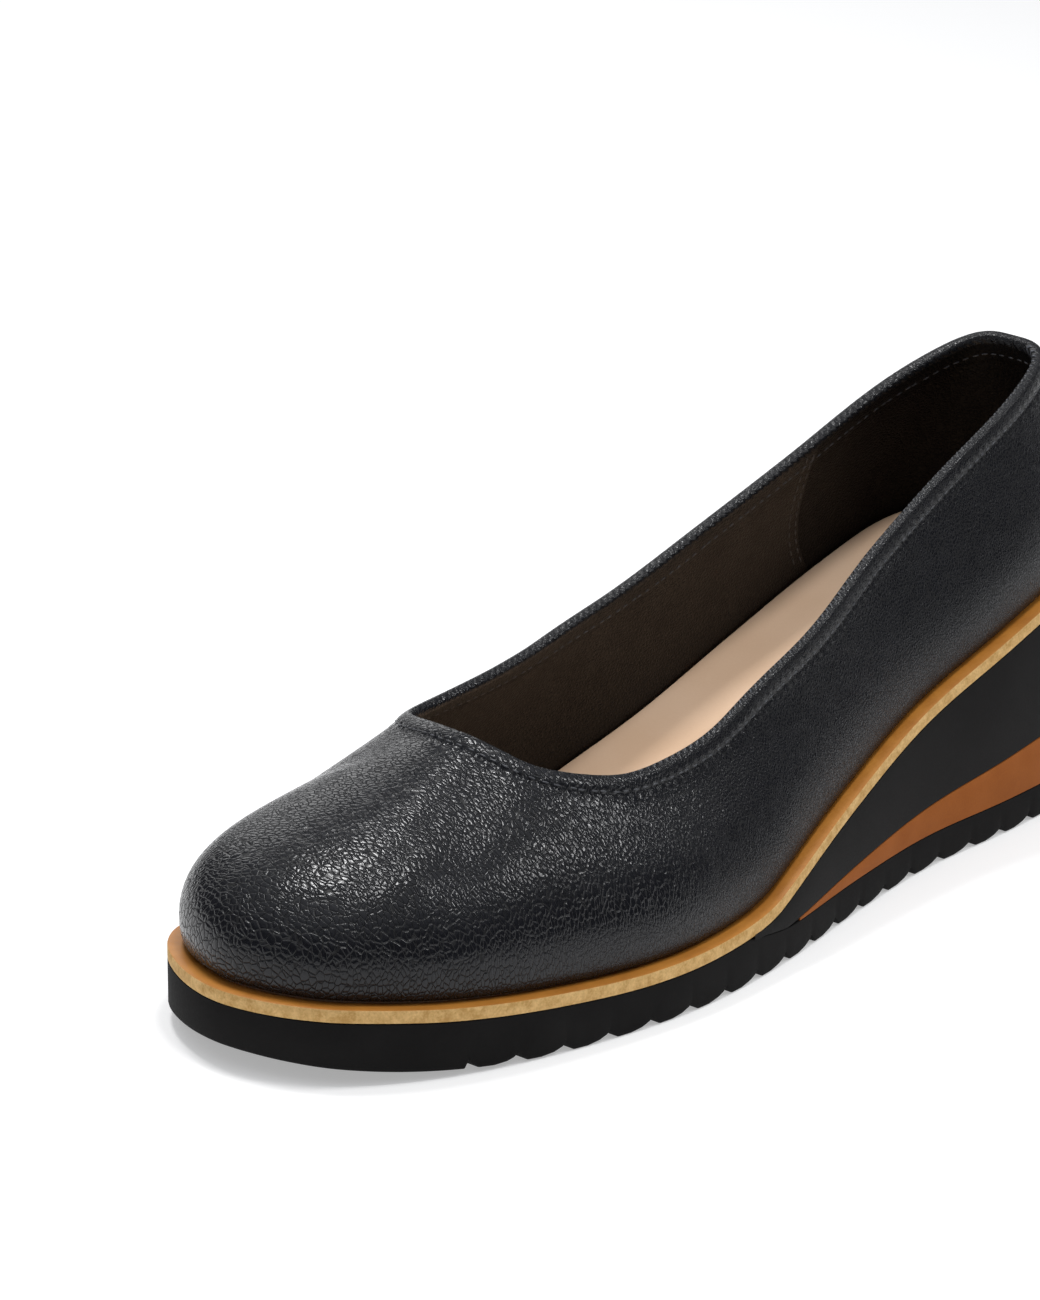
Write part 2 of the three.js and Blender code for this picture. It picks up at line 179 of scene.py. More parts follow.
def makeCamera(c):
    a = math.radians(c["azimuth"])
    e = math.radians(c["elevation"])
    right = Vector((math.cos(a), math.sin(a), 0))
    back = Vector((math.sin(a) * math.cos(e), -math.cos(a) * math.cos(e), math.sin(e)))
    up = back.cross(right)
    bpy.ops.object.camera_add()
    obj = bpy.context.object
    obj.name = "camera"
    place = (Vector(c["target"]) + back * c["distance"]) * mm
    obj.matrix_world = Matrix.Translation(place) @ Matrix((right, up, back)).transposed().to_4x4()
    obj.data.lens = c["lens"]
    obj.data.sensor_width = c["sensor"]
    obj.data.clip_start = c["clip"][0] * mm
    obj.data.clip_end = c["clip"][1] * mm
    scene.camera = obj


# Two softboxes overhead draw the highlight across the toe and light the sock, one behind on the left edges
# the vamp, and one behind on the right picks out the grain below the throat. Power is in watts.
lights = {
    "overhead": {"at": (-250, -40, 760), "size": (150, 150), "power": 2.6, "aim": (8, -105, 38)},
    "above": {"at": (90, -10, 880), "size": (160, 160), "power": 2.5, "aim": (0, 40, 40)},
    "behindLeft": {"at": (-740, 400, 350), "size": (460, 340), "power": 0.9, "aim": (-20, -80, 40)},
    "behindRight": {"at": (420, 420, 620), "size": (120, 120), "power": 1.2, "aim": (20, -50, 40)},
}

studio = {
    "horizon": 0.08,
    "zenith": 0.75,
    "dimBelow": 0.3,  # the air brightens from this height, where 1 is straight up
    "airColour": "F6F8FC",
    "floorSide": 9000,
    "floorColour": "DDDDDD",
    "floorRoughness": 0.9,
    "floorGloss": 0.1,
    "floorGlow": 0.52,
}


def makeLights(table):
    for name, c in table.items():
        bpy.ops.object.light_add(type="AREA")
        obj = bpy.context.object
        obj.name = "light_" + name
        place = Vector(c["at"]) * mm
        turn = (Vector(c["aim"]) * mm - place).to_track_quat("-Z", "Y").to_matrix().to_4x4()
        obj.matrix_world = Matrix.Translation(place) @ turn
        obj.data.shape = "RECTANGLE"
        obj.data.size = c["size"][0] * mm
        obj.data.size_y = c["size"][1] * mm
        obj.data.energy = c["power"]


def makeStudio(c):
    # the air is dim at the horizon and bright overhead, as under a large ceiling panel
    world = bpy.data.worlds.new("studio")
    scene.world = world
    world.use_nodes = True
    tree = world.node_tree
    tree.nodes.clear()
    add = partial(addNode, tree)
    way = add("SeparateXYZ", {0: add("TexCoord")}, output=2)
    glow = add("MapRange", {0: way, 1: c["dimBelow"], 2: 1.0, 3: c["horizon"], 4: c["zenith"]},
               interpolation_type="SMOOTHSTEP")
    add("OutputWorld", {0: add("Background", {0: hexColour(c["airColour"]), 1: glow})})
    bpy.ops.mesh.primitive_plane_add(size=c["floorSide"] * mm)
    floor = bpy.context.object
    floor.name = "floor"
    paper = bpy.data.materials.new("paper_backdrop")
    paper.use_nodes = True
    shader = paper.node_tree.nodes["Principled BSDF"]
    shader.inputs["Base Color"].default_value = hexColour(c["floorColour"])
    shader.inputs["Roughness"].default_value = c["floorRoughness"]
    shader.inputs["Specular IOR Level"].default_value = c["floorGloss"]
    shader.inputs["Emission Color"].default_value = hexColour(c["floorColour"])  # lit a little from below
    shader.inputs["Emission Strength"].default_value = c["floorGlow"]
    floor.data.materials.append(paper)
    scene.view_settings.view_transform = "Standard"


makeCamera(camera)
makeLights(lights)
makeStudio(studio)
print("camera, lights and floor")


# Finishes

def startFinish(name):
    finish = bpy.data.materials.new(name)
    finish.use_nodes = True
    finish.node_tree.nodes.clear()
    return finish, partial(addNode, finish.node_tree)


# Cowhide, chrome tanned, tumbled so that it pebbles, and finished satin black. The pebbles are rounded, run
# round the foot, and are parted by sharp creases, dull and darkened by painted shade, so that the gloss
# breaks into small lights. Where the hide is stretched over the sides and the heel they flatten to a fine
# even grain.
pebbledCowhide = {
    "black": "0D0E12",
    "worn": "17181D",
    # painted shade laid into the grain's creases
    "crease": "050506",
    "paintedHighlight": "5A5D64",  # painted highlight where the whipped edge catches the light
    "patch": 16,
    "pebble": 1.7,
    "closeness": 2.0,  # how much closer the creases lie along the shoe than round it
    "creaseWidth": 0.11,  # share of a pebble
    "creaseShade": 0.45,  # height of the grain up to which it is darkened with painted shade
    "creaseDull": (0.1, 0.5),  # and between which it turns from dull to glossy
    "roundness": 0.55,  # how far a pebble is domed, where 0 is a flat top between two creases
    "domePower": 0.6,
    "fine": 0.75,
    "fineEdge": 0.3,  # share of a fine grain
    "hair": 0.3,
    "drift": 1.0,  # how far the pattern wanders
    "driftSize": 9.0,
    "pebbleHeight": 0.145,
    "fineHeight": (0.012, 0.034),  # where the hide is loose and where it is stretched
    "hairHeight": 0.003,
    "roughness": 0.17,
    "creaseRoughness": 0.57,
    "gloss": 0.36,
    "sewnHeight": 0.16,
    "puckerReach": (0.2, 1.5),
    "whipPitch": 1.9,
    "whipReach": (0.5, 2.0),
    "whipSlant": 0.8,
    "tickFrom": 0.35,  # height of a whipped stitch above which it takes a painted highlight
    "tickFull": 0.95,
    "tickShare": 0.7,
}


def makeCowhide(c):
    finish, add = startFinish("pebbled_cowhide")
    place = add("TexCoord", output=3)
    drift = add("TexNoise", {"Vector": place, "Scale": 1 / (c["driftSize"] * mm), "Detail": 1.0},
                output=1)
    drift = add("VectorMath", {0: drift, 1: (0.5, 0.5, 0.5)}, operation="SUBTRACT")
    drift = add("VectorMath", {0: drift, "Scale": 2 * c["drift"] * mm}, operation="SCALE")
    moved = add("VectorMath", {0: place, 1: drift}, operation="ADD")
    moved = add("VectorMath", {0: moved, 1: (1, c["closeness"], 1)}, operation="MULTIPLY")
    stretch = add("Attribute", output=2, attribute_name="stretch")
    inward = add("TexVoronoi", {"Vector": moved, "Scale": 1 / (c["pebble"] * mm)},
                 feature="DISTANCE_TO_EDGE")
    crease = add("MapRange", {0: inward, 1: 0.0, 2: c["creaseWidth"]}, interpolation_type="SMOOTHSTEP")
    dome = add("Math", {0: inward, 1: 2.0}, operation="MULTIPLY")
    dome = add("Math", {0: dome, 1: c["domePower"]}, operation="POWER")
    pebble = add("Mix", {0: c["roundness"], 2: crease, 3: dome})
    fine = add("TexVoronoi", {"Vector": moved, "Scale": 1 / (c["fine"] * mm)}, feature="DISTANCE_TO_EDGE")
    fine = add("MapRange", {0: fine, 1: 0.0, 2: c["fineEdge"]}, interpolation_type="SMOOTHSTEP")
    hair = add("TexNoise", {"Vector": place, "Scale": 1 / (c["hair"] * mm), "Detail": 2.0})
    # pebbles where the hide is loose, fine grain where it is stretched
    loose = add("MapRange", {0: stretch, 3: c["pebbleHeight"], 4: 0.0})
    taut = add("MapRange", {0: stretch, 3: c["fineHeight"][0], 4: c["fineHeight"][1]})
    pebbles = add("Math", {0: pebble, 1: loose}, operation="MULTIPLY")
    fines = add("Math", {0: fine, 1: taut}, operation="MULTIPLY")
    hairs = add("Math", {0: hair, 1: c["hairHeight"]}, operation="MULTIPLY")
    relief = add("Math", {0: add("Math", {0: pebbles, 1: fines}), 1: hairs})
    grain = add("Mix", {0: stretch, 2: pebble, 3: fine})
    patch = add("TexNoise", {"Vector": place, "Scale": 1 / (c["patch"] * mm), "Detail": 2.0})
    tone = add("Mix", {0: patch, 6: hexColour(c["black"]), 7: hexColour(c["worn"])},
               output=2, data_type="RGBA")
    # painted shade: the colour darkens towards the bottom of the grain's creases
    outsideCreaseShade = add("MapRange", {0: grain, 1: 0.0, 2: c["creaseShade"]})
    colour = add("Mix", {0: outsideCreaseShade, 6: hexColour(c["crease"]), 7: tone}, output=2, data_type="RGBA")
    # sewing: a puckered row on the seam of the hem and small whipped stitches on the collar's edge
    back = add("Attribute", output=2, attribute_name="rimBack")
    along = add("Attribute", output=2, attribute_name="rimAlong")
    sewn = add("Attribute", output=2, attribute_name="sewn")
    beat = add("Math", {0: along, 1: 2 * math.pi / (stitchPitch * mm)}, operation="MULTIPLY")
    beat = add("Math", {0: beat}, operation="SINE")
    fromSeam = add("Math", {0: back, 1: hemWidth * mm}, operation="SUBTRACT")
    fromSeam = add("Math", {0: fromSeam}, operation="ABSOLUTE")
    near, far = c["puckerReach"]
    nearSeam = add("MapRange", {0: fromSeam, 1: near * mm, 2: far * mm, 3: 1.0, 4: 0.0})
    pucker = add("Math", {0: beat, 1: nearSeam}, operation="MULTIPLY")
    slant = add("Math", {0: back, 1: c["whipSlant"]}, operation="MULTIPLY")
    slant = add("Math", {0: along, 1: slant}, operation="ADD")
    whip = add("Math", {0: slant, 1: 2 * math.pi / (c["whipPitch"] * mm)}, operation="MULTIPLY")
    whip = add("Math", {0: whip}, operation="SINE")
    near, far = c["whipReach"]
    atEdge = add("MapRange", {0: back, 1: near * mm, 2: far * mm, 3: 1.0, 4: 0.0},
                 interpolation_type="SMOOTHSTEP")
    atEdge = add("Math", {0: atEdge, 1: sewn}, operation="MULTIPLY")
    whip = add("Math", {0: whip, 1: atEdge}, operation="MULTIPLY")
    # painted highlight: the raised part of each whipped stitch is coloured pale
    stitchHighlight = add("MapRange", {0: whip, 1: c["tickFrom"], 2: c["tickFull"], 3: 0.0, 4: c["tickShare"]})
    colour = add("Mix", {0: stitchHighlight, 6: colour, 7: hexColour(c["paintedHighlight"])}, output=2, data_type="RGBA")
    sewing = add("Math", {0: pucker, 1: whip}, operation="ADD")
    sewing = add("Math", {0: sewing, 1: c["sewnHeight"]}, operation="MULTIPLY")
    height = add("Math", {0: relief, 1: sewing}, operation="ADD")
    low, high = c["creaseDull"]
    rough = add("MapRange", {0: grain, 1: low, 2: high, 3: c["creaseRoughness"], 4: c["roughness"]})
    normal = add("Bump", {"Height": height, "Distance": mm})
    shader = add("BsdfPrincipled", {
        "Base Color": colour, "Roughness": rough, "Normal": normal, "IOR": 1.5,
        "Specular IOR Level": c["gloss"],
    })
    add("OutputMaterial", {0: shader})
    return finish


noiseSpan = (0.3, 0.7)  # where nearly all of a noise's values lie
mixedSpan = (0.36, 0.64)  # and those of two noises mixed


# Pigskin lining, shaved and lightly glazed: small pores and a dull shine. Behind the counter seam the
# lining is black, and along the collar the outer hide is turned in.
pigskinLining = {
    "brown": "0C0806",
    "brownLight": "160F0A",
    "counter": "0D0A09",
    "turnedIn": "0C0B0B",
    "turnedWidth": 5.6,
    "patch": 6,
    "pore": 0.9,
    "poreEdge": 0.3,  # share of a pore
    "seamBlur": 0.15,
    "turnedBlur": 0.2,
    "relief": 0.1,
    "counterStep": 5.0,  # height of the layer's edge at the counter seam, in reliefs
    "turnedStep": 3.75,
    "roughness": (0.36, 0.5),
    "gloss": 0.25,
    "counterGloss": 0.1,
}


def makePigskin(c):
    finish, add = startFinish("pigskin_lining")
    place = add("TexCoord", output=3)
    back = add("Attribute", output=2, attribute_name="rimBack")
    behind = add("Attribute", output=2, attribute_name="counter")
    pore = add("TexVoronoi", {"Vector": place, "Scale": 1 / (c["pore"] * mm)}, feature="DISTANCE_TO_EDGE")
    pore = add("MapRange", {0: pore, 1: 0.0, 2: c["poreEdge"]}, interpolation_type="SMOOTHSTEP")
    patch = add("TexNoise", {"Vector": place, "Scale": 1 / (c["patch"] * mm), "Detail": 3.0})
    front = add("Mix", {0: patch, 6: hexColour(c["brown"]), 7: hexColour(c["brownLight"])},
                output=2, data_type="RGBA")
    blur = c["seamBlur"] * mm
    behind = add("MapRange", {0: behind, 1: -blur, 2: blur})
    colour = add("Mix", {0: behind, 6: front, 7: hexColour(c["counter"])}, output=2, data_type="RGBA")
    edge, blur = c["turnedWidth"] * mm, c["turnedBlur"] * mm
    lining = add("MapRange", {0: back, 1: edge - blur, 2: edge + blur})
    colour = add("Mix", {0: lining, 6: hexColour(c["turnedIn"]), 7: colour}, output=2, data_type="RGBA")
    gloss = add("MapRange", {0: behind, 3: c["gloss"], 4: c["counterGloss"]})
    height = add("Math", {0: behind, 1: -c["counterStep"], 2: pore}, operation="MULTIPLY_ADD")
    height = add("Math", {0: lining, 1: -c["turnedStep"], 2: height}, operation="MULTIPLY_ADD")
    least, most = c["roughness"]
    rough = add("MapRange", {0: patch, 1: noiseSpan[0], 2: noiseSpan[1], 3: least, 4: most})
    normal = add("Bump", {"Height": height, "Distance": c["relief"] * mm})
    shader = add("BsdfPrincipled", {
        "Base Color": colour, "Roughness": rough, "Normal": normal, "IOR": 1.5,
        "Specular IOR Level": gloss,
    })
    add("OutputMaterial", {0: shader})
    return finish


roughnessSpread = 0.05


def makeSpeckled(name, c):
    # one look for moulded and pressed stuffs: soft patches of tone over a fine grain
    finish, add = startFinish(name)
    place = add("TexCoord", output=3)
    patch = add("TexNoise", {"Vector": place, "Scale": 1 / (c["patch"] * mm), "Detail": 2.0})
    grain = add("TexNoise", {"Vector": place, "Scale": 1 / (c["grain"] * mm), "Detail": 3.0,
                             "Roughness": 0.6})
    mixed = add("Mix", {0: c["speckle"], 2: patch, 3: grain})
    share = add("MapRange", {0: mixed, 1: mixedSpan[0], 2: mixedSpan[1]})
    colour = add("Mix", {0: share, 6: hexColour(c["dark"]), 7: hexColour(c["light"])},
                 output=2, data_type="RGBA")
    least, most = c["roughness"] - roughnessSpread, c["roughness"] + roughnessSpread
    rough = add("MapRange", {0: grain, 1: noiseSpan[0], 2: noiseSpan[1], 3: least, 4: most})
    normal = add("Bump", {"Height": grain, "Distance": c["relief"] * mm})
    shader = add("BsdfPrincipled", {
        "Base Color": colour, "Roughness": rough, "Normal": normal, "IOR": c["ior"],
        "Specular IOR Level": c["gloss"],
    })
    add("OutputMaterial", {0: shader})
    return finish


speckled = {
    # blown rubber, moulded and left dry: dense black with no shine
    "rubber": {"dark": "100F0F", "light": "181717", "patch": 12, "grain": 0.6, "speckle": 0.5,
               "roughness": 0.75, "relief": 0.03, "ior": 1.52, "gloss": 0.12},
    # EVA foam with a moulded skin: black and very even
    "foam": {"dark": "100F0F", "light": "161515", "patch": 18, "grain": 0.4, "speckle": 0.4,
             "roughness": 0.7, "relief": 0.02, "ior": 1.48, "gloss": 0.15},
    # the same foam in rust brown, a little mottled
    "rustFoam": {"dark": "91501D", "light": "A05C27", "patch": 10, "grain": 0.5, "speckle": 0.4,
                 "roughness": 0.7, "relief": 0.02, "ior": 1.48, "gloss": 0.15},
    # leatherboard burnished on top with warm wax: smooth with soft cloudy patches
    "waxedBoard": {"dark": "AE6F28", "light": "C08033", "patch": 7, "grain": 0.7, "speckle": 0.3,
                   "roughness": 0.45, "relief": 0.015, "ior": 1.5, "gloss": 0.4},
    # the same board sanded at its edge: pale, with the mottle of cut fibres
    "sandedBoard": {"dark": "BC9254", "light": "E2BC80", "patch": 2.2, "grain": 0.5, "speckle": 0.45,
                    "roughness": 0.75, "relief": 0.05, "ior": 1.5, "gloss": 0.2},
    # goatskin sock dyed sand and pressed smooth
    "goatskin": {"dark": "E2BF9F", "light": "EAC9AB", "patch": 24, "grain": 0.6, "speckle": 0.25,
                 "roughness": 0.8, "relief": 0.015, "ior": 1.5, "gloss": 0.1},
    # waxed polyester thread, coloured charcoal as a painted sheen so that each stitch shows as a fleck on
    # the black hide
    "thread": {"dark": "2C2D31", "light": "4A4C52", "patch": 2, "grain": 0.2, "speckle": 0.5,
               "roughness": 0.4, "relief": 0.02, "ior": 1.55, "gloss": 0.5},
}

finishes = {name: makeSpeckled(name, c) for name, c in speckled.items()}
finishes["cowhide"] = makeCowhide(pebbledCowhide)
finishes["pigskin"] = makePigskin(pigskinLining)
print("finishes")


# Lines of the sole, read from the frame

def treeOf(mesh):
    return BVHTree.FromPolygons([v.co for v in mesh.vertices], [p.vertices for p in mesh.polygons])


trees = {name: treeOf(node.data) for name, node in frame["nodes"].items()}
soleMiddle = (-6.1, -4.9, -3.8)  # lines along the sole that cross every layer


def heightOn(name, y, side):
    # height of a node's upper (side 1) or lower (side -1) surface along the middle of the sole
    lo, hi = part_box(name)
    margin = 0.4 * mm
    at = min(max(y, lo[1] + margin), hi[1] - margin)
    starts = [Vector((x * mm, at, 200 * mm * side)) for x in soleMiddle]
    hits = [trees[name].ray_cast(start, Vector((0, 0, -side)))[0] for start in starts]
    return np.median([hit.z for hit in hits if hit])


def heightLine(name, side, places):
    table = [heightOn(name, y, side) for y in places]
    return lambda y: np.interp(y, places, table)


curveSteps = 12  # places worked out between two given points of a curve


def closedCurve(points, count):
    # evenly spaced points on a smooth closed curve through the given ones
    ahead = np.roll(points, -1, axis=0)
    before = np.roll(points, 1, axis=0)
    after = np.roll(points, -2, axis=0)
    parts = []
    for t in np.arange(curveSteps) / curveSteps:
        parts.append(
            points + 0.5 * t * (ahead - before)
            + t * t * (before - 2.5 * points + 2 * ahead - 0.5 * after)
            + t ** 3 * (-0.5 * before + 1.5 * points - 1.5 * ahead + 0.5 * after)
        )
    return evenly(np.stack(parts, axis=1).reshape(-1, points.shape[1]), count)


def evenly(points, count):
    closed = np.vstack([points, points[:1]])
    walked = np.r_[0, np.cumsum(np.linalg.norm(np.diff(closed, axis=0), axis=1))]
    wanted = np.arange(count) / count * walked[-1]
    return np.stack([np.interp(wanted, walked, closed[:, k]) for k in range(points.shape[1])], axis=1)


def softened(points):
    return (np.roll(points, 1, axis=0) + 2 * points + np.roll(points, -1, axis=0)) / 4


outlineReading = {"straight": 85, "steep": 0.35, "points": 140}


def readOutline(c):
    # the welt's outer side faces away from the middle line of the sole
    mesh = frame["nodes"]["welt"].data
    found = set()
    for face in mesh.polygons:
        y = min(max(face.center.y, -c["straight"] * mm), c["straight"] * mm)
        inward = Vector((middleX * mm, y, 0)) - face.center
        if abs(face.normal.z) < c["steep"] and face.normal.xy.dot(inward.xy) < 0:
            for v in face.vertices:
                co = mesh.vertices[v].co
                found.add((round(co.x, 5), round(co.y, 5)))
    flat = np.array(sorted(found, key=lambda p: math.atan2(p[1], p[0] - middleX * mm)))
    return softened(evenly(flat, c["points"]))


soleSteps = 420
outlineRing = closedCurve(readOutline(outlineReading), soleSteps)


def insetRing(distance):
    along = np.roll(outlineRing, -1, axis=0) - np.roll(outlineRing, 1, axis=0)
    along /= np.linalg.norm(along, axis=1)[:, None]
    return outlineRing + distance * np.stack([-along[:, 1], along[:, 0]], axis=1)


heel = {"undercut": 3.0, "undercutFrom": 0.75, "seat": 52.9}


def leanHeel(coords):
    # towards the floor the back of the heel lies further forward, as in the frame
    length = cadBox[1][1] - cadBox[0][1]
    share = smoothStep((coords[:, 1] - cadBox[0][1]) / length, heel["undercutFrom"], 1.0)
    drop = np.clip(1 - coords[:, 2] / (heel["seat"] * mm), 0, 1)
    coords[:, 1] -= heel["undercut"] * mm * share * drop
    return coords


def selectEdges(obj, test):
    # in edit mode: selects the edges both of whose ends pass the test
    mesh = bmesh.from_edit_mesh(obj.data)
    for edge in mesh.edges:
        edge.select_set(all(test(v.co) for v in edge.verts))
    mesh.select_flush_mode()
    bmesh.update_edit_mesh(obj.data)


slab = {"thickness": 6.0, "edgeSteps": 3, "smoothUnder": 32}


def roundEdges(width):
    bpy.ops.mesh.bevel(offset=width, segments=slab["edgeSteps"], affect="EDGES", clamp_overlap=False)


def soleLayer(c):
    # a flat slab with the sole's outline, its edges rounded, cut across at stations and bent to two lines
    flat = slab["thickness"] * mm
    tiny = 0.001 * mm
    bpy.ops.object.select_all(action="DESELECT")
    bpy.ops.mesh.primitive_circle_add(vertices=soleSteps, radius=0.1, fill_type="NGON")
    obj = bpy.context.object
    setCoords(obj, np.column_stack([insetRing(c["inset"] * mm), np.zeros(soleSteps)]))
    editMesh(
        obj,
        lambda: bpy.ops.mesh.select_all(action="SELECT"),
        lambda: bpy.ops.mesh.extrude_region_move(TRANSFORM_OT_translate={"value": (0, 0, flat)}),
        lambda: bpy.ops.mesh.select_all(action="SELECT"),
        lambda: bpy.ops.mesh.normals_make_consistent(inside=False),
        lambda: bpy.ops.mesh.select_mode(type="EDGE"),
        lambda: selectEdges(obj, lambda co: co.z < tiny),
        lambda: roundEdges(c["lowEdge"] * mm),
        lambda: selectEdges(obj, lambda co: co.z > flat - tiny),
        lambda: roundEdges(c["highEdge"] * mm),
    )

    def cutAcross():
        for y in c["stations"]:
            bpy.ops.mesh.select_all(action="SELECT")
            bpy.ops.mesh.bisect(plane_co=(0, y, 0), plane_no=(0, 1, 0))
        if c.get("tip") is not None:
            bpy.ops.mesh.select_all(action="SELECT")
            bpy.ops.mesh.bisect(plane_co=(0, c["tip"], 0), plane_no=(0, 1, 0), clear_inner=True,
                                use_fill=True)

    editMesh(obj, cutAcross)
    coords = coordsOf(obj)
    low = c["low"](coords[:, 1])
    high = c["high"](coords[:, 1])
    squeeze = np.minimum(1, (high - low) / flat)
    rise = coords[:, 2].copy()
    coords[:, 2] = np.where(rise < flat / 2, low + rise * squeeze, high - (flat - rise) * squeeze)
    setCoords(obj, leanHeel(coords))
    activate(obj)
    bpy.ops.object.shade_smooth_by_angle(angle=math.radians(slab["smoothUnder"]))
    return obj


def stationsOf(name, low, spacing):
    # the distances along the sole at which a node's lower surface bends, no closer than the spacing
    coords = coordsOf(frame["nodes"][name])
    places = np.unique(np.round(coords[coords[:, 2] < low][:, 1], 5))
    kept = [places[0]]
    for y in places[1:]:
        if y - kept[-1] >= spacing:
            kept.append(y)
    return kept


seamFill = 0.12 * mm  # each glued layer fills this much of the gap to its neighbour
stationStep = 3 * mm  # from one cut across the sole to the next
evenStations = list(np.arange(cadBox[0][1] + stationStep, cadBox[1][1] - 1 * mm, stationStep))
lugStations = stationsOf("outsole", 6 * mm, 0.3 * mm)  # at the lugs, which lie in the lowest 6 mm


def makeSole():
    low = heightLine("outsole", -1, sorted(lugStations))
    high = heightLine("outsole", 1, evenStations)
    obj = soleLayer({
        "inset": 0.0, "lowEdge": 0.7, "highEdge": 0.25, "stations": lugStations,
        "low": low, "high": lambda y: high(y) + seamFill,
    })
    finishPiece(obj, "outsole_rubber", [finishes["rubber"]], "outsole", "outsole")
    for name, node, look in (("wedge_foam", "wedge", "foam"), ("wedge_stripe", "wedge_insert", "rustFoam")):
        lo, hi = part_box(node)
        stations = [y for y in evenStations if y > lo[1] + 1 * mm]
        low = heightLine(node, -1, stations)
        high = heightLine(node, 1, stations)
        obj = soleLayer({
            "inset": 0.0, "lowEdge": 0.25, "highEdge": 0.25, "stations": stations, "tip": lo[1],
            "low": lambda y: low(y) - seamFill, "high": lambda y: high(y) + seamFill,
        })
        finishPiece(obj, name, [finishes[look]], node, node)


makeSole()


# Welt and insole

weltStrip = {"innerEdge": 4.9, "thickness": 2.8, "rounding": 0.3, "roundOver": 50, "smoothUnder": 40}


def makeWelt(c):
    low = heightLine("insole", -1, evenStations)
    bpy.ops.object.select_all(action="DESELECT")
    bpy.ops.mesh.primitive_circle_add(vertices=soleSteps, radius=0.1, fill_type="NOTHING")
    obj = bpy.context.object
    outer, inner = insetRing(0.0), insetRing(c["innerEdge"] * mm)
    setCoords(obj, np.column_stack([outer, np.zeros(soleSteps)]))
    editMesh(
        obj,
        lambda: bpy.ops.mesh.select_mode(type="EDGE"),
        lambda: bpy.ops.mesh.select_all(action="SELECT"),
        *[lambda: bpy.ops.mesh.extrude_region_move(TRANSFORM_OT_translate={"value": (0, 0, 0)})] * 3,
    )
    rings = [(outer, 0.0), (outer, 1.0), (inner, 1.0), (inner, 0.0)]
    coords = np.vstack([np.column_stack([ring, np.full(soleSteps, level)]) for ring, level in rings])
    foot = low(coords[:, 1]) - seamFill
    coords[:, 2] = foot + coords[:, 2] * (c["thickness"] * mm + seamFill)
    setCoords(obj, leanHeel(coords))
    editMesh(
        obj,
        lambda: bpy.ops.mesh.select_all(action="DESELECT"),
        lambda: bpy.ops.mesh.select_mode(type="EDGE"),
        lambda: bpy.ops.mesh.select_non_manifold(),
        lambda: bpy.ops.mesh.bridge_edge_loops(),
        lambda: bpy.ops.mesh.select_all(action="SELECT"),
        lambda: bpy.ops.mesh.normals_make_consistent(inside=False),
    )
    applyModifier(obj, "BEVEL", width=c["rounding"] * mm, segments=2, limit_method="ANGLE",
                  angle_limit=math.radians(c["roundOver"]))
    finishPiece(obj, "welt_strip", [finishes["waxedBoard"], finishes["sandedBoard"]], "welt", "welt")
    for face in obj.data.polygons:
        face.material_index = 1 if face.normal.z < 0.5 else 0
    activate(obj)
    bpy.ops.object.shade_smooth_by_angle(angle=math.radians(c["smoothUnder"]))


def makeInsole():
    obj = soleLayer({
        "inset": 5.1, "lowEdge": 0.3, "highEdge": 0.7, "stations": evenStations,
        "low": heightLine("insole", -1, evenStations), "high": heightLine("insole", 1, evenStations),
    })
    finishPiece(obj, "insole_sock", [finishes["goatskin"]], "insole", "insole")


makeWelt(weltStrip)
makeInsole()


# Upper

# A line through the hollow of the shoe, from toe to heel, by which its inside and outside are told.
hollowLine = np.array([
    (-5, -108, 26), (-3, -80, 28), (-4, -50, 28), (-4, -10, 34), (-4, 40, 52), (-5, 80, 68), (-5, 108, 72),
]) * mm

upperShape = {
    "hemRoll": 0.28,
    "grooveDepth": 0.28,
    "grooveWidth": 0.5,
    "gatherPitch": 5.4,
    "gatherDrift": (1.3, 17),  # how far the gathers stray from even, in radians, and over what length
    "gatherDepth": 0.1,
    "gatherReach": 9.0,
    "sidesFrom": (-52, -25),  # along the shoe, where the collar's sides begin
    "creaseReach": 16,  # up and down from a crease's middle
    "liningFrom": 1.2,  # from the rim, where the inner face stops being outer hide
    "farStitches": 0.35,  # how strongly the whipped stitches show on the inner side of the shoe
    "edgeOn": 0.1,  # how squarely a face looks away from the hollow before it takes all of the relief
}

# How far the hide is stretched: hardly on the vamp and toe, fully along the sides.
hideStretch = {
    "side": (-48, 10),
    "splay": 0.6,  # how much earlier the sides are stretched than the ridge
    "steep": (0.5, 0.1),
    "low": (-100, -60),
    "lowShare": 0.8,
    "most": 0.85,
}

# Soft troughs in the leather, ridges where the depth is below 0: middle, direction in degrees from +X
# towards the heel, length, width and depth.
creases = [
    {"at": (20, -84, 42), "turn": -60, "long": 40, "wide": 12, "deep": 0.5},
    {"at": (-20, -72, 47), "turn": 20, "long": 34, "wide": 9, "deep": 0.3},
]

# The seam of the lining's counter, straight down to the level and bowing towards the heel below it. Its two
# rows of stitches lie ahead of it.
counterSeam = {
    "at": 73.8, "level": 68.0, "bow": 0.0138, "top": 88, "foot": 46, "rows": (-0.9, -3.3),
    "reach": 60,  # furthest that the lining lies from the middle
}


def finderOf(points):
    finder = KDTree(len(points))
    for k, p in enumerate(points):
        finder.insert(p, k)
    finder.balance()
    return finder


def nearestOnLine(points, line):
    best = np.full(len(points), np.inf)
    place = np.zeros_like(points)
    for a, b in zip(line[:-1], line[1:]):
        t = np.clip(((points - a) @ (b - a)) / ((b - a) @ (b - a)), 0, 1)
        q = a + t[:, None] * (b - a)
        d = np.linalg.norm(points - q, axis=1)
        closer = d < best
        best[closer] = d[closer]
        place[closer] = q[closer]
    return place


def facing(points, normals):
    # 1 where a surface looks straight away from the hollow, -1 where it looks straight into it
    way = points - nearestOnLine(points, hollowLine)
    return np.einsum("ij,ij->i", normals, way) / np.maximum(np.linalg.norm(way, axis=1), 1e-6)


collarReading = {"aboveSock": 15, "middleY": 30, "points": 160, "steps": 2400}


